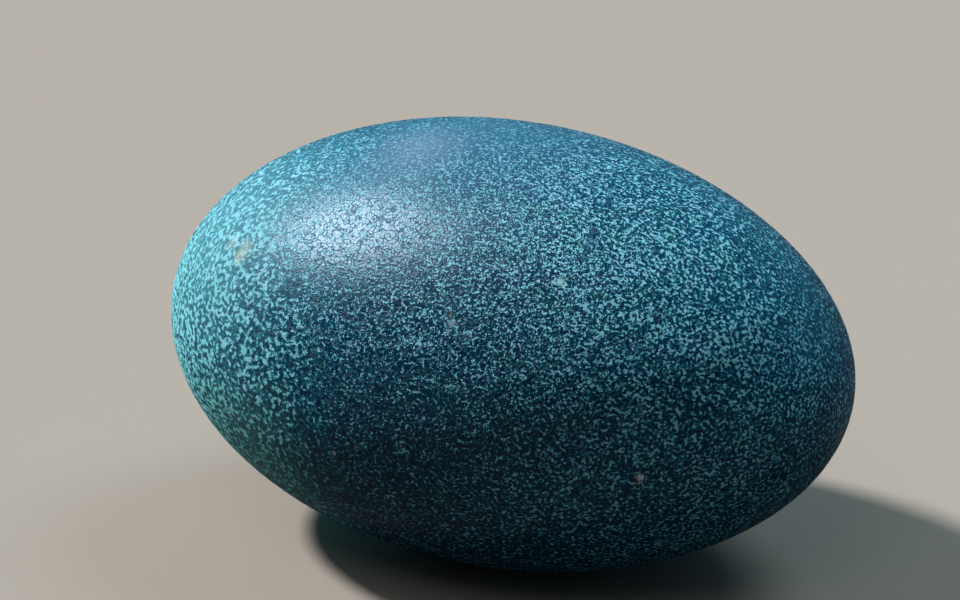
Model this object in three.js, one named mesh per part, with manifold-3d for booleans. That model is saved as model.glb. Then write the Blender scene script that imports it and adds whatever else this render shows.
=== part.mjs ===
// An emu egg lying on its side on a small flat spot.
//
// Units are millimetres and +Z is up. The egg's long axis runs along X, with the slimmer end
// towards +X. The origin is under the middle of the egg, on the flat spot's plane.
//
// The egg is one closed solid of revolution: an ellipse that is a little slimmer towards +X and
// a little leaner near both ends, turned about its long axis, then trimmed flat underneath.

import * as THREE from "three";
import { mergeVertices } from "three/addons/utils/BufferGeometryUtils.js";
import Module from "manifold-3d";

// Driving dimensions of the egg.
const EGG_LENGTH = 138;
const EGG_WIDTH = 87.4;

// How much slimmer the +X end is than an even ellipse, and the -X end fuller, as a share of the radius.
const SLIM_END_TAPER = 0.0186;

// How much leaner both ends are than an even ellipse, as a share of the radius.
const LEAN_ENDS = 0.0149;

// The slim end hangs a little lower than the blunt end, as it does on a real egg lying down.
const REST_DIP = THREE.MathUtils.degToRad(1.5);

// How deep the flat resting spot is cut into the round underside.
const FLAT_DEPTH = 0.35;

// Fineness of the faceted surface: steps from end to end, and steps around the girth.
const STEPS_ALONG = 46;
const STEPS_AROUND = 80;

// The box that trims the underside: wider than the flat spot, and deeper than the cut.
const TRIM_SIZE = 60;
const TRIM_DEPTH = 10;

const SHELL_COLOUR = 0x1d5362;
const SHELL_ROUGHNESS = 0.42;

const wasm = await Module();
wasm.setup();

/** The shell's radius at a place along its axis, from -1 at the blunt end to 1 at the slim end. */
function shellRadius(place) {
  const ellipse = (EGG_WIDTH / 2) * Math.sqrt(Math.max(0, 1 - place * place));
  return ellipse * (1 - SLIM_END_TAPER * place - LEAN_ENDS * place * place);
}

/** The shell's outline from the blunt pole to the slim pole, both exactly on the axis. */
function shellProfile() {
  const points = [new THREE.Vector2(0, -EGG_LENGTH / 2)];
  for (let step = 1; step < STEPS_ALONG; step += 1) {
    const place = -Math.cos((Math.PI * step) / STEPS_ALONG);
    points.push(new THREE.Vector2(shellRadius(place), (place * EGG_LENGTH) / 2));
  }
  points.push(new THREE.Vector2(0, EGG_LENGTH / 2));
  return points;
}

/** The whole egg before its flat spot, lying dipped along X, lowest point FLAT_DEPTH under z = 0. */
function roundEgg() {
  const geometry = new THREE.LatheGeometry(shellProfile(), STEPS_AROUND);
  geometry.rotateZ(-Math.PI / 2);
  geometry.rotateY(REST_DIP);
  geometry.computeBoundingBox();
  geometry.translate(0, 0, -geometry.boundingBox.min.z - FLAT_DEPTH);
  return geometry;
}

/** The block of space under z = 0 that is taken off the underside. */
function trimBlock() {
  const geometry = new THREE.BoxGeometry(TRIM_SIZE, TRIM_SIZE, TRIM_DEPTH);
  geometry.translate(0, 0, -TRIM_DEPTH / 2);
  return geometry;
}

/** A closed geometry as a solid: shared corners merged, and the slivers at the poles left out. */
function toSolid(geometry) {
  geometry.deleteAttribute("normal");
  geometry.deleteAttribute("uv");
  const merged = mergeVertices(geometry);
  const corners = merged.index.array;
  const faces = [];
  for (let first = 0; first < corners.length; first += 3) {
    const [a, b, c] = corners.slice(first, first + 3);
    if (a !== b && b !== c && c !== a) {
      faces.push(a, b, c);
    }
  }
  return new wasm.Manifold(new wasm.Mesh({
    numProp: 3,
    vertProperties: Float32Array.from(merged.attributes.position.array),
    triVerts: Uint32Array.from(faces),
  }));
}

/** A solid back as a geometry that a mesh can hold. */
function toGeometry(solid) {
  const mesh = solid.getMesh();
  const geometry = new THREE.BufferGeometry();
  geometry.setAttribute("position", new THREE.BufferAttribute(mesh.vertProperties, 3));
  geometry.setIndex(new THREE.BufferAttribute(mesh.triVerts, 1));
  geometry.computeVertexNormals();
  return geometry;
}

/** The egg: one piece, flat where it rests. */
function buildEgg() {
  const solid = toSolid(roundEgg()).subtract(toSolid(trimBlock()));
  const shell = new THREE.MeshStandardMaterial({
    color: SHELL_COLOUR,
    roughness: SHELL_ROUGHNESS,
    metalness: 0,
  });
  const egg = new THREE.Mesh(toGeometry(solid), shell);
  egg.name = "egg";
  return egg;
}

const emuEgg = new THREE.Group();
emuEgg.add(buildEgg());

export default emuEgg;
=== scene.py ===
"""A whole emu egg lying on its side, dressed in its granular shell, in a plain soft-lit studio.

Units are metres and +Z is up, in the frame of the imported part: the egg's long axis runs along X with
the slimmer end towards +X, and the origin lies on the flat resting spot, under the egg's middle.
"""

import logging
import math
from dataclasses import dataclass
from enum import Enum

import bpy
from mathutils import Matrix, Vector


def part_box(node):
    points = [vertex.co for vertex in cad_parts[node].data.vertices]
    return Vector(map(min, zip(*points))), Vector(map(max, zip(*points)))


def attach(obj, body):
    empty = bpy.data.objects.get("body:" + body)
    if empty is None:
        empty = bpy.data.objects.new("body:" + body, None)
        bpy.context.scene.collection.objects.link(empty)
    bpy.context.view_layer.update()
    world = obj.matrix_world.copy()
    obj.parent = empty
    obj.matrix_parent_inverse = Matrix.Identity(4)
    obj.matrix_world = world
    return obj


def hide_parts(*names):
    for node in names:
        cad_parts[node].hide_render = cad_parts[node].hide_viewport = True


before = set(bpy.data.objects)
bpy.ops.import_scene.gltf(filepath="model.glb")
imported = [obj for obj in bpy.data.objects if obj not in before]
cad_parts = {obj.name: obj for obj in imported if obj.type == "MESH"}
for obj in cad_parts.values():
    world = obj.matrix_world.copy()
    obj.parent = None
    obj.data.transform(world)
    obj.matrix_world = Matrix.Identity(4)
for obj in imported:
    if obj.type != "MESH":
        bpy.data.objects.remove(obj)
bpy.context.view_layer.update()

LOG = logging.getLogger("emu_egg")

MM = 0.001
IMAGE_WIDTH = 960
IMAGE_HEIGHT = 600
SENSOR_WIDTH = 36.0

# The value that a noise texture varies about.
NOISE_MIDDLE = 0.5

# A Mix node's sockets by number, because each data type has its own set under the same names.
MIX_FLOAT_A = 2
MIX_FLOAT_B = 3
MIX_COLOUR_A = 6
MIX_COLOUR_B = 7
MIX_COLOUR_OUT = 2

# The share of an edge's length that runs along an axis, when the edge counts as lying along it.
SAME_WAY = 0.99

# A lower bound in metres that is far outside the egg, for a direction with no bound of its own.
UNBOUNDED = -1.0

NodeInput = bpy.types.NodeSocket | float | tuple | str


def linear(hex_colour: str) -> tuple[float, float, float, float]:
    """Turns an sRGB hex colour to linear light.

    Args:
        hex_colour: Six hex digits, with or without a leading hash.

    Returns:
        Red, green, blue and an alpha of one, in linear light.
    """
    digits = hex_colour.lstrip("#")
    channels = (int(digits[place:place + 2], 16) / 255 for place in (0, 2, 4))
    red, green, blue = (c / 12.92 if c <= 0.04045 else ((c + 0.055) / 1.055) ** 2.4 for c in channels)
    return red, green, blue, 1.0


def add_node(
    tree: bpy.types.NodeTree,
    kind: str,
    inputs: dict[str | int, NodeInput] | None = None,
    **settings: object,
) -> bpy.types.Node:
    """Adds a node with its settings, fixed input values and links.

    Args:
        tree: The node tree that gets the node.
        kind: The node's type name.
        inputs: What goes into each input, by name or number: a socket is linked, and a value is set.
        settings: The node's own properties.

    Returns:
        The new node.
    """
    node = tree.nodes.new(kind)
    for name, value in settings.items():
        setattr(node, name, value)
    for name, value in (inputs or {}).items():
        if isinstance(value, bpy.types.NodeSocket):
            tree.links.new(value, node.inputs[name])
        else:
            node.inputs[name].default_value = value
    return node


class Axis(Enum):
    """The axes of the row, by their place in a vector."""

    X = 0
    Y = 1
    Z = 2


@dataclass(frozen=True)
class Patch:
    """A round patch of the shell with soft edges: its centre, its reach and its strength."""

    centre: tuple[float, float, float]
    reach: float
    strength: float

    def mask(self, tree: bpy.types.NodeTree, place: bpy.types.NodeSocket) -> bpy.types.NodeSocket:
        """Masks the patch in a material.

        Args:
            tree: The material's node tree.
            place: The object's coordinates.

        Returns:
            The strength at the centre, falling softly to nothing at the patch's reach.
        """
        away = add_node(
            tree, "ShaderNodeVectorMath", {0: place, 1: self.centre}, operation="DISTANCE"
        ).outputs["Value"]
        return add_node(tree, "ShaderNodeMapRange", {
            "Value": away,
            "From Min": self.reach,
            "From Max": 0.0,
            "To Max": self.strength,
        }, interpolation_type="SMOOTHSTEP").outputs[0]


@dataclass(frozen=True)
class StainAndPaintedLight:
    """A soft patch where cover and ground draw near one colour: some are faint stains, and those
    marked as painted where they are listed are painted light.
    """

    patch: Patch
    colour: str


@dataclass(frozen=True)
class Mark:
    """A small stain or chip of the shell, with a ragged edge."""

    centre: tuple[float, float, float]
    reach: float
    colour: str


@dataclass(frozen=True)
class EmuEggshell:
    """Emu eggshell: a pale turquoise calcite shell under a dark green cover of fused raised grains.

    The bird lays the cover down last, as grains that run together into a network. The eye sees a dark,
    slightly glossy, pebbled net, with the matt pale ground showing in the small pits between. The
    grains are coarser round the blunt end and finer on top. Cracks part them, and grit breaks up
    their shine.
    """

    # A noise cell is a little under half the distance from one pale pit to the next.
    grain_spacing: float = 0.59 * MM
    coarse_spacing: float = 0.86 * MM
    fine_spacing: float = 0.28 * MM
    grain_stretch: tuple[float, float, float] = (0.88, 1.0, 1.0)
    grain_detail: float = 1.0
    grain_detail_share: float = 0.4
    grain_distortion: float = 0.3
    coarse_grains: Patch = Patch((-0.055, -0.018, 0.045), 0.056, 2.6)
    fine_grains: Patch = Patch((0.0, -0.026, 0.074), 0.070, 1.0)

    # Where the cover lies thicker or thinner, over a few grains and over a finger's width.
    clump_spacing: float = 2.6 * MM
    clump_share: float = 0.12
    drift_spacing: float = 16 * MM
    drift_share: float = 0.1

    # The crack net and the grit are drawn as coarse as they need to be to show.
    crack_spacing: float = 1.2 * MM
    crack_width: float = 0.045
    # Near the highlight the cracks take the thick cover's colour: painted shade in the cracks.
    painted_crack_shade: Patch = Patch((-0.018, -0.030, 0.074), 0.046, 0.7)
    grit_spacing: float = 0.42 * MM

    # Heights as shares of the relief: the edge of the pits, the grains' round tops, grit and cracks.
    relief: float = 0.065 * MM
    pit_edge: tuple[float, float] = (0.76, 0.67)
    pit_depth: float = 0.36
    grain_rounding: float = -0.4
    grit_height: float = 0.7
    crack_depth: float = -0.65

    # Depths between which the cover thins, and then gives way to the ground.
    cover_thins: tuple[float, float] = (0.53, 0.71)
    ground_shows: tuple[float, float] = (0.698, 0.774)
    pale_ground: str = "#90d2e8"
    green_ground: str = "#86d2de"
    thick_cover: str = "#01304a"
    thin_cover: str = "#0f758f"

    # A slow noise tints the cover green or plum, and the ground green, each over its own range.
    tint_spacing: float = 3.4 * MM
    green_cover: str = "#02434c"
    green_cover_range: tuple[float, float] = (0.46, 0.3)
    plum_cover: str = "#073054"
    plum_cover_range: tuple[float, float] = (0.54, 0.72)
    cover_tint_strength: float = 0.5
    green_ground_range: tuple[float, float] = (0.56, 0.38)

    # Gloss: a satin cover over a matt ground, with cracks that shine less than the cover.
    refraction: float = 1.6
    gloss_tint: str = "#d8f4ff"
    cover_roughness: float = 0.27
    ground_roughness: float = 0.65
    crack_roughness: float = 0.7

    # Shares of a mark's reach between which it fades out, before the grains make its edge ragged.
    mark_edge: tuple[float, float] = (0.7, 0.4)
    # Positive patches thin the cover and negative ones thicken it. Most follow the shell's own
    # pattern; those marked below are painted light and shade.
    cover_patches_and_painted_light: tuple[Patch, ...] = (
        Patch((-0.066, -0.010, 0.042), 0.058, 0.150),
        Patch((-0.036, -0.020, 0.078), 0.030, 0.040),
        Patch((0.045, -0.014, 0.072), 0.040, 0.050),
        Patch((0.060, 0.030, 0.030), 0.040, 0.040),
        Patch((-0.010, 0.040, 0.060), 0.036, 0.030),
        # Partly painted shade: a thicker cover below the lit band, where the light falls off.
        Patch((-0.004, -0.041, 0.058), 0.038, -0.060),
        # Painted highlight: a thicker cover where the highlight falls, so the pale pits show less in
        # it.
        Patch((-0.024, -0.024, 0.077), 0.022, -0.020),
        # Painted shade: a thicker cover low on the front, towards the floor.
        Patch((0.000, -0.038, 0.022), 0.034, -0.010),
        # Partly painted bounce light: a thinner cover low on the slim end.
        Patch((0.052, -0.032, 0.036), 0.040, 0.010),
        # Painted shade: a thicker cover at the bottom, next to the floor.
        Patch((0.014, -0.032, 0.010), 0.032, -0.030),
    )
    stains_and_painted_light: tuple[StainAndPaintedLight, ...] = (
        # Partly painted sheen: lightens and evens the dark net on the upper blunt end.
        StainAndPaintedLight(Patch((-0.056, -0.014, 0.068), 0.040, 0.5), "#69a6b8"),
        # Darker, flatter colours along the top of the egg.
        StainAndPaintedLight(Patch((-0.010, 0.001, 0.086), 0.040, 0.6), "#427693"),
        # Painted highlight: cover and ground drawn towards one grey teal where the highlight falls.
        StainAndPaintedLight(Patch((-0.026, -0.022, 0.077), 0.026, 0.3), "#4c8ba3"),
        StainAndPaintedLight(Patch((-0.016, -0.007, 0.085), 0.014, 0.45), "#7e93ac"),
        # Painted reflection of the lit floor, low on the blunt end.
        StainAndPaintedLight(Patch((-0.042, -0.033, 0.030), 0.024, 0.35), "#5c8686"),
        StainAndPaintedLight(Patch((-0.04934, -0.02047, 0.06683), 0.0022, 0.55), "#a9b9a8"),
        StainAndPaintedLight(Patch((-0.04539, -0.02314, 0.06751), 0.0028, 0.55), "#aeb4ac"),
        StainAndPaintedLight(Patch((-0.04658, -0.02389, 0.06576), 0.0024, 0.60), "#b2b0a0"),
    )
    marks: tuple[Mark, ...] = (
        Mark((0.03776, -0.03628, 0.03819), 0.0008, "#ffffff"),
        Mark((0.03755, -0.03617, 0.03683), 0.0005, "#efe4d4"),
        Mark((0.01958, -0.02937, 0.07297), 0.0007, "#a0d4d0"),
        Mark((0.00039, -0.03691, 0.06678), 0.0005, "#3c3a34"),
        Mark((0.00124, -0.03772, 0.06542), 0.0006, "#7f97a3"),
        Mark((-0.02130, -0.04087, 0.03615), 0.0005, "#e6ddd4"),
        Mark((-0.01612, -0.04223, 0.03893), 0.0004, "#8a7458"),
    )

    def material(self) -> bpy.types.Material:
        """Builds the shell's material.

        Returns:
            The finished material.
        """
        material = bpy.data.materials.new("emu_eggshell")
        material.use_nodes = True
        tree = material.node_tree
        tree.nodes.clear()
        place = add_node(tree, "ShaderNodeTexCoord").outputs["Object"]
        depth = self._depth(tree, place)
        cracks = self._cracks(tree, place)
        pale = add_node(tree, "ShaderNodeMapRange", {
            "Value": depth,
            "From Min": self.ground_shows[0],
            "From Max": self.ground_shows[1],
        }, interpolation_type="SMOOTHSTEP").outputs[0]
        shader = add_node(tree, "ShaderNodeBsdfPrincipled", {
            "Base Color": self._colour(tree, place, depth, pale, cracks),
            "Roughness": self._roughness(tree, pale, cracks),
            "IOR": self.refraction,
            "Specular Tint": linear(self.gloss_tint),
            "Normal": self._relief(tree, place, depth, cracks),
        })
        add_node(tree, "ShaderNodeOutputMaterial", {"Surface": shader.outputs[0]})
        return material

    def _depth(self, tree: bpy.types.NodeTree, place: bpy.types.NodeSocket) -> bpy.types.NodeSocket:
        """Works out how deep each spot lies between the grains' tops.

        Args:
            tree: The material's node tree.
            place: The object's coordinates.

        Returns:
            About 0.3 on the grains' tops and 0.8 in the deepest pits.
        """
        drawn_out = add_node(
            tree, "ShaderNodeVectorMath", {0: place, 1: self.grain_stretch}, operation="MULTIPLY"
        ).outputs[0]
        grains = [
            add_node(tree, "ShaderNodeTexNoise", {
                "Vector": drawn_out,
                "Scale": 1 / spacing,
                "Detail": self.grain_detail,
                "Roughness": self.grain_detail_share,
                "Distortion": self.grain_distortion,
            }).outputs["Fac"]
            for spacing in (self.grain_spacing, self.coarse_spacing)
        ]
        depth = add_node(tree, "ShaderNodeMix", {
            "Factor": self.coarse_grains.mask(tree, place),
            MIX_FLOAT_A: grains[0],
            MIX_FLOAT_B: grains[1],
        }).outputs[0]
        fine = add_node(tree, "ShaderNodeTexNoise", {
            "Vector": place,
            "Scale": 1 / self.fine_spacing,
            "Detail": 0.0,
        }).outputs["Fac"]
        fine = add_node(
            tree, "ShaderNodeMath", {0: fine, 1: NOISE_MIDDLE}, operation="SUBTRACT"
        ).outputs[0]
        depth = add_node(tree, "ShaderNodeMath", {
            0: fine,
            1: self.fine_grains.mask(tree, place),
            2: depth,
        }, operation="MULTIPLY_ADD").outputs[0]
        for spacing, share in (
            (self.clump_spacing, self.clump_share),
            (self.drift_spacing, self.drift_share),
        ):
            drift = add_node(tree, "ShaderNodeTexNoise", {
                "Vector": place,
                "Scale": 1 / spacing,
                "Detail": 1.0,
            }).outputs["Fac"]
            depth = add_node(
                tree, "ShaderNodeMath", {0: drift, 1: share, 2: depth}, operation="MULTIPLY_ADD"
            ).outputs[0]
        # The patches thin and thicken the cover; the marked few among them paint light and shade.
        for depth_shift in self.cover_patches_and_painted_light:
            mask = depth_shift.mask(tree, place)
            depth = add_node(tree, "ShaderNodeMath", {0: depth, 1: mask}).outputs[0]
        return depth

    def _colour(
        self,
        tree: bpy.types.NodeTree,
        place: bpy.types.NodeSocket,
        depth: bpy.types.NodeSocket,
        pale: bpy.types.NodeSocket,
        cracks: bpy.types.NodeSocket,
    ) -> bpy.types.NodeSocket:
        """Colours the cover and the ground, with painted shade in the cracks near the highlight and
        painted light in some patches.

        Args:
            tree: The material's node tree.
            place: The object's coordinates.
            depth: How deep each spot lies between the grains' tops.
            pale: Where the pale ground shows.
            cracks: One in the cracks, nothing between them.

        Returns:
            The colour.
        """
        tint = add_node(tree, "ShaderNodeTexNoise", {
            "Vector": place,
            "Scale": 1 / self.tint_spacing,
            "Detail": 1.0,
        }).outputs["Fac"]
        cover = add_node(tree, "ShaderNodeMix", {
            "Factor": add_node(tree, "ShaderNodeMapRange", {
                "Value": depth,
                "From Min": self.cover_thins[0],
                "From Max": self.cover_thins[1],
            }, interpolation_type="SMOOTHSTEP").outputs[0],
            MIX_COLOUR_A: linear(self.thick_cover),
            MIX_COLOUR_B: linear(self.thin_cover),
        }, data_type="RGBA").outputs[MIX_COLOUR_OUT]
        for stain, (start, end) in (
            (self.green_cover, self.green_cover_range),
            (self.plum_cover, self.plum_cover_range),
        ):
            cover = add_node(tree, "ShaderNodeMix", {
                "Factor": add_node(tree, "ShaderNodeMapRange", {
                    "Value": tint,
                    "From Min": start,
                    "From Max": end,
                    "To Max": self.cover_tint_strength,
                }, interpolation_type="SMOOTHSTEP").outputs[0],
                MIX_COLOUR_A: cover,
                MIX_COLOUR_B: linear(stain),
            }, data_type="RGBA").outputs[MIX_COLOUR_OUT]
        ground = add_node(tree, "ShaderNodeMix", {
            "Factor": add_node(tree, "ShaderNodeMapRange", {
                "Value": tint,
                "From Min": self.green_ground_range[0],
                "From Max": self.green_ground_range[1],
            }, interpolation_type="SMOOTHSTEP").outputs[0],
            MIX_COLOUR_A: linear(self.pale_ground),
            MIX_COLOUR_B: linear(self.green_ground),
        }, data_type="RGBA").outputs[MIX_COLOUR_OUT]
        colour = add_node(tree, "ShaderNodeMix", {
            "Factor": pale,
            MIX_COLOUR_A: cover,
            MIX_COLOUR_B: ground,
        }, data_type="RGBA").outputs[MIX_COLOUR_OUT]
        # Stains and painted light, as marked where the patches are listed.
        for toning in self.stains_and_painted_light:
            colour = add_node(tree, "ShaderNodeMix", {
                "Factor": toning.patch.mask(tree, place),
                MIX_COLOUR_A: colour,
                MIX_COLOUR_B: linear(toning.colour),
            }, data_type="RGBA").outputs[MIX_COLOUR_OUT]
        # Painted shade: near the highlight the cracks darken to the thick cover's colour.
        painted_crack_shade = add_node(tree, "ShaderNodeMath", {
            0: cracks,
            1: self.painted_crack_shade.mask(tree, place),
        }, operation="MULTIPLY").outputs[0]
        colour = add_node(tree, "ShaderNodeMix", {
            "Factor": painted_crack_shade,
            MIX_COLOUR_A: colour,
            MIX_COLOUR_B: linear(self.thick_cover),
        }, data_type="RGBA").outputs[MIX_COLOUR_OUT]
        for mark in self.marks:
            away = add_node(
                tree, "ShaderNodeVectorMath", {0: place, 1: mark.centre}, operation="DISTANCE"
            ).outputs["Value"]
            ragged = add_node(
                tree, "ShaderNodeMath", {0: away, 1: depth}, operation="MULTIPLY"
            ).outputs[0]
            colour = add_node(tree, "ShaderNodeMix", {
                "Factor": add_node(tree, "ShaderNodeMapRange", {
                    "Value": ragged,
                    "From Min": mark.reach * self.mark_edge[0],
                    "From Max": mark.reach * self.mark_edge[1],
                }).outputs[0],
                MIX_COLOUR_A: colour,
                MIX_COLOUR_B: linear(mark.colour),
            }, data_type="RGBA").outputs[MIX_COLOUR_OUT]
        return colour

    def _roughness(
        self,
        tree: bpy.types.NodeTree,
        pale: bpy.types.NodeSocket,
        cracks: bpy.types.NodeSocket,
    ) -> bpy.types.NodeSocket:
        """Makes the cover satin and the ground matt, and dulls the cracks.

        Args:
            tree: The material's node tree.
            pale: Where the pale ground shows.
            cracks: One in the cracks, nothing between them.

        Returns:
            The roughness.
        """
        roughness = add_node(tree, "ShaderNodeMapRange", {
            "Value": pale,
            "To Min": self.cover_roughness,
            "To Max": self.ground_roughness,
        }).outputs[0]
        return add_node(tree, "ShaderNodeMath", {
            0: cracks,
            1: self.crack_roughness - self.cover_roughness,
            2: roughness,
        }, operation="MULTIPLY_ADD").outputs[0]

    def _cracks(self, tree: bpy.types.NodeTree, place: bpy.types.NodeSocket) -> bpy.types.NodeSocket:
        """Draws the net of fine cracks between the fused grains.

        Args:
            tree: The material's node tree.
            place: The object's coordinates.

        Returns:
            One in the cracks, nothing between them.
        """
        network = add_node(tree, "ShaderNodeTexNoise", {
            "Vector": place,
            "Scale": 1 / self.crack_spacing,
            "Detail": 1.0,
        }).outputs["Fac"]
        off_crack = add_node(
            tree, "ShaderNodeMath", {0: network, 1: NOISE_MIDDLE}, operation="SUBTRACT"
        ).outputs[0]
        off_crack = add_node(tree, "ShaderNodeMath", {0: off_crack}, operation="ABSOLUTE").outputs[0]
        return add_node(tree, "ShaderNodeMapRange", {
            "Value": off_crack,
            "From Min": self.crack_width,
            "From Max": 0.0,
        }, interpolation_type="SMOOTHSTEP").outputs[0]

    def _relief(
        self,
        tree: bpy.types.NodeTree,
        place: bpy.types.NodeSocket,
        depth: bpy.types.NodeSocket,
        cracks: bpy.types.NodeSocket,
    ) -> bpy.types.NodeSocket:
        """Raises the cover's grains above the ground, round on top, gritty and cracked.

        Args:
            tree: The material's node tree.
            place: The object's coordinates.
            depth: How deep each spot lies between the grains' tops.
            cracks: One in the cracks, nothing between them.

        Returns:
            The bent normal.
        """
        height = add_node(tree, "ShaderNodeMapRange", {
            "Value": depth,
            "From Min": self.pit_edge[0],
            "From Max": self.pit_edge[1],
            "To Max": self.pit_depth,
        }, interpolation_type="SMOOTHSTEP").outputs[0]
        grit = add_node(tree, "ShaderNodeTexNoise", {
            "Vector": place,
            "Scale": 1 / self.grit_spacing,
            "Detail": 0.0,
        }).outputs["Fac"]
        for layer, share in (
            (depth, self.grain_rounding),
            (grit, self.grit_height),
            (cracks, self.crack_depth),
        ):
            height = add_node(
                tree, "ShaderNodeMath", {0: layer, 1: share, 2: height}, operation="MULTIPLY_ADD"
            ).outputs[0]
        return add_node(tree, "ShaderNodeBump", {
            "Strength": 1.0,
            "Distance": self.relief,
            "Height": height,
        }).outputs[0]


@dataclass
class Egg:
    """The egg: one piece, an ellipse of revolution slimmer at one end and flat where it rests."""

    length: float
    width: float
    centre: Vector
    slim_end_taper: float = 0.0186
    lean_ends: float = 0.0149
    rest_dip: float = math.radians(1.5)
    cells: int = 101
    sway: float = 0.12 * MM
    sway_spacing: float = 34 * MM
    pebble: float = 0.07 * MM
    pebble_spacing: float = 2.4 * MM

    @classmethod
    def from_box(cls, box: tuple[Vector, Vector]) -> "Egg":
        """Sizes and places the egg by its solid.

        Args:
            box: The lowest and the highest corner of the solid.

        Returns:
            The egg, not yet built.
        """
        low, high = (Vector(corner) for corner in box)
        width = high.y - low.y
        centre = Vector(((low.x + high.x) / 2, (low.y + high.y) / 2, high.z - width / 2))
        return cls(length=high.x - low.x, width=width, centre=centre)

    def build(self, shell: EmuEggshell) -> bpy.types.Object:
        """Models the egg and dresses it.

        Args:
            shell: The finish of its surface.

        Returns:
            The finished piece.
        """
        piece = self._gridded_block()
        modifier = piece.modifiers.new("egg_form", "NODES")
        modifier.node_group = self._form()
        bpy.ops.object.modifier_apply(modifier=modifier.name)
        bpy.ops.object.shade_smooth()
        piece.data.materials.clear()
        piece.data.materials.append(shell.material())
        return piece

    def _gridded_block(self) -> bpy.types.Object:
        """Adds a block of two units a side, its faces cut into even cells.

        Returns:
            The block, as the active object.
        """
        bpy.ops.object.select_all(action="DESELECT")
        bpy.ops.mesh.primitive_cube_add(size=2)
        piece = bpy.context.active_object
        piece.name = "egg_shell"
        piece.data.name = "egg_shell"
        bpy.ops.object.mode_set(mode="EDIT")
        for axis in Axis:
            self._select_edges_along(piece, axis)
            bpy.ops.mesh.subdivide(number_cuts=self.cells - 1)
        bpy.ops.object.mode_set(mode="OBJECT")
        return piece

    def _select_edges_along(self, piece: bpy.types.Object, axis: Axis) -> None:
        """Selects the edges of the piece in edit mode that run along an axis.

        Args:
            piece: The piece, in edit mode.
            axis: The axis.
        """
        bpy.ops.mesh.select_mode(type="EDGE")
        bpy.ops.mesh.select_all(action="DESELECT")
        bpy.ops.object.mode_set(mode="OBJECT")
        corners = piece.data.vertices
        for edge in piece.data.edges:
            run = corners[edge.vertices[1]].co - corners[edge.vertices[0]].co
            edge.select = abs(run[axis.value]) > SAME_WAY * run.length
        bpy.ops.object.mode_set(mode="EDIT")

    def _form(self) -> bpy.types.NodeTree:
        """Makes the geometry nodes that turn the block into the egg.

        Returns:
            The node tree: block to ball, ball to egg, then its sway, its pebbles and its flat spot.
        """
        tree = bpy.data.node_groups.new("egg_form", "GeometryNodeTree")
        tree.interface.new_socket("Geometry", in_out="INPUT", socket_type="NodeSocketGeometry")
        tree.interface.new_socket("Geometry", in_out="OUTPUT", socket_type="NodeSocketGeometry")
        shape = add_node(tree, "NodeGroupInput").outputs[0]
        shape = add_node(tree, "GeometryNodeSetPosition", {
            "Geometry": shape,
            "Position": self._on_egg(tree, self._on_ball(tree)),
        }).outputs[0]
        for height, spacing in ((self.sway, self.sway_spacing), (self.pebble, self.pebble_spacing)):
            shape = add_node(tree, "GeometryNodeSetPosition", {
                "Geometry": shape,
                "Offset": self._swelling(tree, height, spacing),
            }).outputs[0]
        shape = add_node(tree, "GeometryNodeSetPosition", {
            "Geometry": shape,
            "Position": add_node(tree, "ShaderNodeVectorMath", {
                0: add_node(tree, "GeometryNodeInputPosition").outputs[0],
                1: (UNBOUNDED, UNBOUNDED, 0.0),
            }, operation="MAXIMUM").outputs[0],
        }).outputs[0]
        add_node(tree, "NodeGroupOutput", {0: shape})
        return tree

    def _on_ball(self, tree: bpy.types.NodeTree) -> bpy.types.NodeSocket:
        """Places each corner of the block on a ball of radius one, with cells of nearly even size.

        Args:
            tree: The geometry node tree.

        Returns:
            Places on the ball.
        """
        position = add_node(tree, "GeometryNodeInputPosition").outputs[0]
        angle = add_node(
            tree, "ShaderNodeVectorMath", {0: position, "Scale": math.pi / 4}, operation="SCALE"
        ).outputs[0]
        spread = add_node(tree, "ShaderNodeVectorMath", {0: angle}, operation="TANGENT").outputs[0]
        return add_node(tree, "ShaderNodeVectorMath", {0: spread}, operation="NORMALIZE").outputs[0]

    def _on_egg(self, tree: bpy.types.NodeTree, ball: bpy.types.NodeSocket) -> bpy.types.NodeSocket:
        """Draws the ball out to the egg, dips its slim end and lifts it to its place.

        Args:
            tree: The geometry node tree.
            ball: Places on the ball.

        Returns:
            Places on the egg.
        """
        along, across, up = add_node(tree, "ShaderNodeSeparateXYZ", {0: ball}).outputs
        taper = add_node(tree, "ShaderNodeMath", {
            0: along,
            1: -self.lean_ends,
            2: -self.slim_end_taper,
        }, operation="MULTIPLY_ADD").outputs[0]
        girth = add_node(
            tree, "ShaderNodeMath", {0: along, 1: taper, 2: 1.0}, operation="MULTIPLY_ADD"
        ).outputs[0]
        radius = add_node(
            tree, "ShaderNodeMath", {0: girth, 1: self.width / 2}, operation="MULTIPLY"
        ).outputs[0]
        drawn_out = [
            add_node(tree, "ShaderNodeMath", {0: part, 1: reach}, operation="MULTIPLY").outputs[0]
            for part, reach in ((along, self.length / 2), (across, radius), (up, radius))
        ]
        level = add_node(tree, "ShaderNodeCombineXYZ", dict(enumerate(drawn_out))).outputs[0]
        dipped = add_node(tree, "ShaderNodeVectorRotate", {
            "Vector": level,
            "Angle": self.rest_dip,
        }, rotation_type="Y_AXIS").outputs[0]
        return add_node(tree, "ShaderNodeVectorMath", {0: dipped, 1: tuple(self.centre)}).outputs[0]

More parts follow.
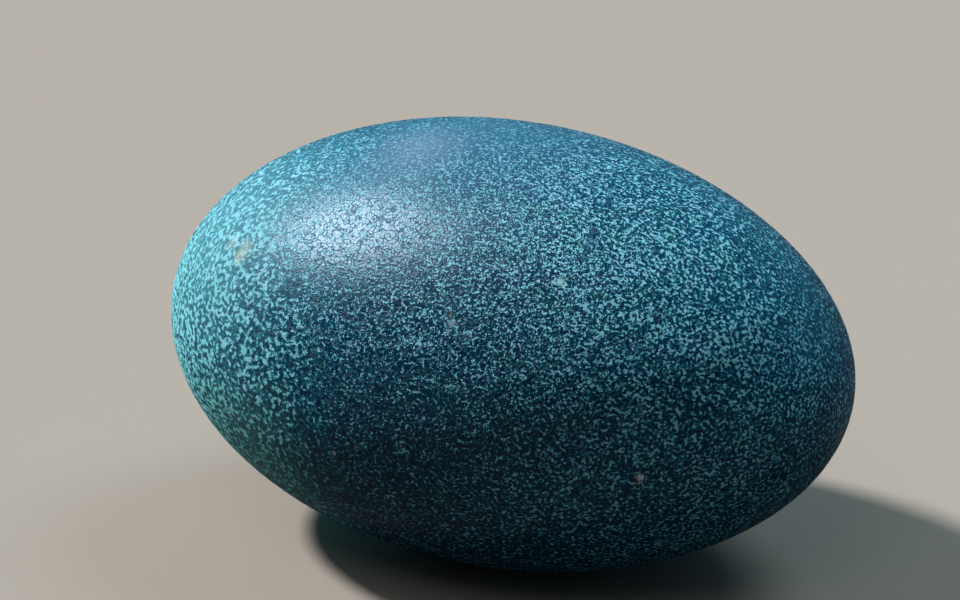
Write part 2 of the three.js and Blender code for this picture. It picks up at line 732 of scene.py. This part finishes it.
    def _swelling(
        self, tree: bpy.types.NodeTree, height: float, spacing: float
    ) -> bpy.types.NodeSocket:
        """Moves the surface in and out by noise.

        Args:
            tree: The geometry node tree.
            height: How far the noise's full range moves it, in metres.
            spacing: The distance between the noise's cells, in metres.

        Returns:
            The offset along the surface's normal.
        """
        position = add_node(tree, "GeometryNodeInputPosition").outputs[0]
        noise = add_node(tree, "ShaderNodeTexNoise", {
            "Vector": position,
            "Scale": 1 / spacing,
            "Detail": 1.0,
        }).outputs["Fac"]
        push = add_node(tree, "ShaderNodeMapRange", {
            "Value": noise,
            "To Min": -height,
            "To Max": height,
        }).outputs[0]
        normal = add_node(tree, "GeometryNodeInputNormal").outputs[0]
        return add_node(
            tree, "ShaderNodeVectorMath", {0: normal, "Scale": push}, operation="SCALE"
        ).outputs[0]


class LampRole(Enum):
    """What a lamp does: lights the room, lights the piece alone, or is only mirrored in the piece."""

    ROOM = "room"
    PIECE = "piece"
    GLOSS = "gloss"


@dataclass(frozen=True)
class Lamp:
    """A round soft lamp that shines at the subject. Only the gloss lamp is mirrored in the subject."""

    name: str
    towards: tuple[float, float, float]
    distance: float
    width: float
    power: float
    colour: str
    role: LampRole = LampRole.ROOM

    def build(self, subject: Vector, lit: bpy.types.Collection) -> None:
        """Hangs the lamp on its side of the subject.

        Args:
            subject: The point that it shines at.
            lit: What a lamp lights that isn't for the whole room.
        """
        aim = Vector(self.towards).normalized()
        turn = aim.to_track_quat("Z", "Y").to_euler()
        bpy.ops.object.light_add(type="AREA", location=subject + aim * self.distance, rotation=turn)
        lamp = bpy.context.active_object
        lamp.name = self.name
        lamp.visible_camera = False
        lamp.visible_glossy = self.role is LampRole.GLOSS
        lamp.visible_diffuse = self.role is not LampRole.GLOSS
        if self.role is not LampRole.ROOM:
            lamp.light_linking.receiver_collection = lit
        lamp.data.shape = "DISK"
        lamp.data.size = self.width
        lamp.data.energy = self.power
        lamp.data.color = linear(self.colour)[:3]


@dataclass(frozen=True)
class Glow:
    """A soft round glow of the room that only mirroring surfaces see."""

    towards: tuple[float, float, float]
    reach: float
    strength: float
    colour: str


@dataclass
class Studio:
    """The plain pale floor, the soft lamps around the egg and the faint light of the room."""

    piece: bpy.types.Object
    subject: Vector
    floor_radius: float = 2.0
    floor_sides: int = 96
    floor_colour: str = "#ada298"
    floor_roughness: float = 0.8
    thrown_light: float = 0.13
    sky_colour: str = "#dcf8ff"
    low_sky: float = 0.03
    high_sky: float = 0.15
    sky_rise: tuple[float, float] = (0.3, 0.9)
    sheen_colour: str = "#74d0ff"
    sheen: float = 0.5
    sheen_rise: tuple[float, float] = (-0.5, 0.6)
    glow: Glow = Glow((-0.62, -0.05, 0.78), math.radians(34), 1.0, "#dcf4ff")
    backdrop_colour: str = "#b4b3b1"
    lamps: tuple[Lamp, ...] = (
        Lamp("key_lamp", (-0.64, -0.01, 0.77), 10.0, 1.2, 1168.0, "#ffffff"),
        Lamp("gloss_lamp", (-0.63, -0.09, 0.765), 10.0, 6.2, 1520.0, "#fff6fa", LampRole.GLOSS),
        Lamp("card_lamp", (-0.983, 0.151, 0.02), 1.0, 0.08, 6.4, "#cbffe1", LampRole.PIECE),
        Lamp("far_lamp", (0.35, 0.35, 0.87), 1.0, 0.5, 2.9, "#d4f4ff"),
        Lamp("right_lamp", (0.80, -0.55, 0.05), 1.0, 0.1, 0.42, "#e8ffff", LampRole.PIECE),
        Lamp("front_lamp", (0.0, -0.55, 0.83), 1.0, 0.5, 0.7, "#ffffff"),
    )

    def build(self) -> None:
        """Adds the floor, the lamps and the light of the room."""
        self._floor()
        self._room()
        lit = bpy.data.collections.new("lit_alone")
        lit.objects.link(self.piece)
        for lamp in self.lamps:
            lamp.build(self.subject, lit)

    def _floor(self) -> None:
        """Lays the floor, which throws less light back on the egg than it shows."""
        bpy.ops.object.select_all(action="DESELECT")
        bpy.ops.mesh.primitive_circle_add(
            vertices=self.floor_sides, radius=self.floor_radius, fill_type="NGON"
        )
        floor = bpy.context.active_object
        floor.name = "floor"
        material = bpy.data.materials.new("matt_floor")
        material.use_nodes = True
        tree = material.node_tree
        tree.nodes.clear()
        ray = add_node(tree, "ShaderNodeLightPath").outputs
        thrown = add_node(tree, "ShaderNodeMath", {
            0: ray["Is Diffuse Ray"],
            1: ray["Is Glossy Ray"],
        }, operation="MAXIMUM").outputs[0]
        shown = linear(self.floor_colour)
        shader = add_node(tree, "ShaderNodeBsdfPrincipled", {
            "Base Color": add_node(tree, "ShaderNodeMix", {
                "Factor": thrown,
                MIX_COLOUR_A: shown,
                MIX_COLOUR_B: (*(channel * self.thrown_light for channel in shown[:3]), 1.0),
            }, data_type="RGBA").outputs[MIX_COLOUR_OUT],
            "Roughness": self.floor_roughness,
        })
        add_node(tree, "ShaderNodeOutputMaterial", {"Surface": shader.outputs[0]})
        floor.data.materials.append(material)

    def _room(self) -> None:
        """Lights the room faintly, before a plain pale backdrop.

        The sky lights matt surfaces. The sheen and the glow are seen only in the gloss of the shell.
        """
        world = bpy.data.worlds.new("room")
        bpy.context.scene.world = world
        world.use_nodes = True
        tree = world.node_tree
        tree.nodes.clear()
        towards = add_node(tree, "ShaderNodeTexCoord").outputs["Generated"]
        sky = add_node(tree, "ShaderNodeBackground", {
            "Color": linear(self.sky_colour),
            "Strength": add_node(tree, "ShaderNodeMapRange", {
                "Value": add_node(tree, "ShaderNodeSeparateXYZ", {0: towards}).outputs[Axis.Z.value],
                "From Min": self.sky_rise[0],
                "From Max": self.sky_rise[1],
                "To Min": self.low_sky,
                "To Max": self.high_sky,
            }, interpolation_type="SMOOTHSTEP").outputs[0],
        })
        ray = add_node(tree, "ShaderNodeLightPath").outputs
        sheen = add_node(tree, "ShaderNodeBackground", {
            "Color": linear(self.sheen_colour),
            "Strength": add_node(tree, "ShaderNodeMapRange", {
                "Value": add_node(tree, "ShaderNodeSeparateXYZ", {0: towards}).outputs[Axis.Y.value],
                "From Min": self.sheen_rise[0],
                "From Max": self.sheen_rise[1],
                "To Max": self.sheen,
            }, interpolation_type="SMOOTHSTEP").outputs[0],
        })
        glow = add_node(tree, "ShaderNodeBackground", {
            "Color": linear(self.glow.colour),
            "Strength": add_node(tree, "ShaderNodeMapRange", {
                "Value": add_node(tree, "ShaderNodeVectorMath", {
                    0: towards,
                    1: tuple(Vector(self.glow.towards).normalized()),
                }, operation="DOT_PRODUCT").outputs["Value"],
                "From Min": math.cos(self.glow.reach),
                "From Max": 1.0,
                "To Max": self.glow.strength,
            }, interpolation_type="SMOOTHSTEP").outputs[0],
        })
        mirrored = add_node(tree, "ShaderNodeAddShader", {0: sheen.outputs[0], 1: glow.outputs[0]})
        unseen = add_node(tree, "ShaderNodeMixShader", {
            0: ray["Is Glossy Ray"],
            1: sky.outputs[0],
            2: mirrored.outputs[0],
        })
        backdrop = add_node(tree, "ShaderNodeBackground", {"Color": linear(self.backdrop_colour)})
        room = add_node(tree, "ShaderNodeMixShader", {
            0: ray["Is Camera Ray"],
            1: unseen.outputs[0],
            2: backdrop.outputs[0],
        })
        add_node(tree, "ShaderNodeOutputWorld", {"Surface": room.outputs[0]})


@dataclass
class Viewpoint:
    """The camera: where it stands round the subject, and where the subject falls in the picture."""

    subject: Vector
    azimuth: float = math.radians(18.1)
    elevation: float = math.radians(26)
    distance: float = 0.8
    focal_pixels: float = 4085.0
    subject_column: float = 508.8
    subject_row: float = 344.1
    nearest_seen: float = 0.01

    def build(self) -> None:
        """Adds the camera and makes it the scene's own."""
        back = Vector((
            math.sin(self.azimuth) * math.cos(self.elevation),
            -math.cos(self.azimuth) * math.cos(self.elevation),
            math.sin(self.elevation),
        ))
        right = Vector((math.cos(self.azimuth), math.sin(self.azimuth), 0.0))
        up = back.cross(right)
        pixel = self.distance / self.focal_pixels
        aim = (
            self.subject
            - right * (self.subject_column - IMAGE_WIDTH / 2) * pixel
            + up * (self.subject_row - IMAGE_HEIGHT / 2) * pixel
        )
        stand = self.subject + back * self.distance
        turn = (stand - aim).to_track_quat("Z", "Y").to_euler()
        bpy.ops.object.camera_add(location=stand, rotation=turn)
        camera = bpy.context.active_object
        camera.name = "camera"
        camera.data.sensor_width = SENSOR_WIDTH
        camera.data.lens = self.focal_pixels * SENSOR_WIDTH / IMAGE_WIDTH
        camera.data.clip_start = self.nearest_seen
        bpy.context.scene.camera = camera


def main() -> None:
    """Builds the camera, the egg and the studio, in that order, and reports each piece."""
    logging.basicConfig(level=logging.INFO, format="%(name)s: %(message)s")
    egg = Egg.from_box(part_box("egg"))
    Viewpoint(subject=egg.centre).build()
    LOG.info("camera placed")
    piece = egg.build(EmuEggshell())
    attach(piece, "root")
    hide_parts("egg")
    LOG.info("%s: %d faces", piece.name, len(piece.data.polygons))
    Studio(piece, egg.centre).build()
    LOG.info("floor and lamps placed")
    bpy.context.scene.view_settings.view_transform = "Standard"


if __name__ == "__main__":
    main()
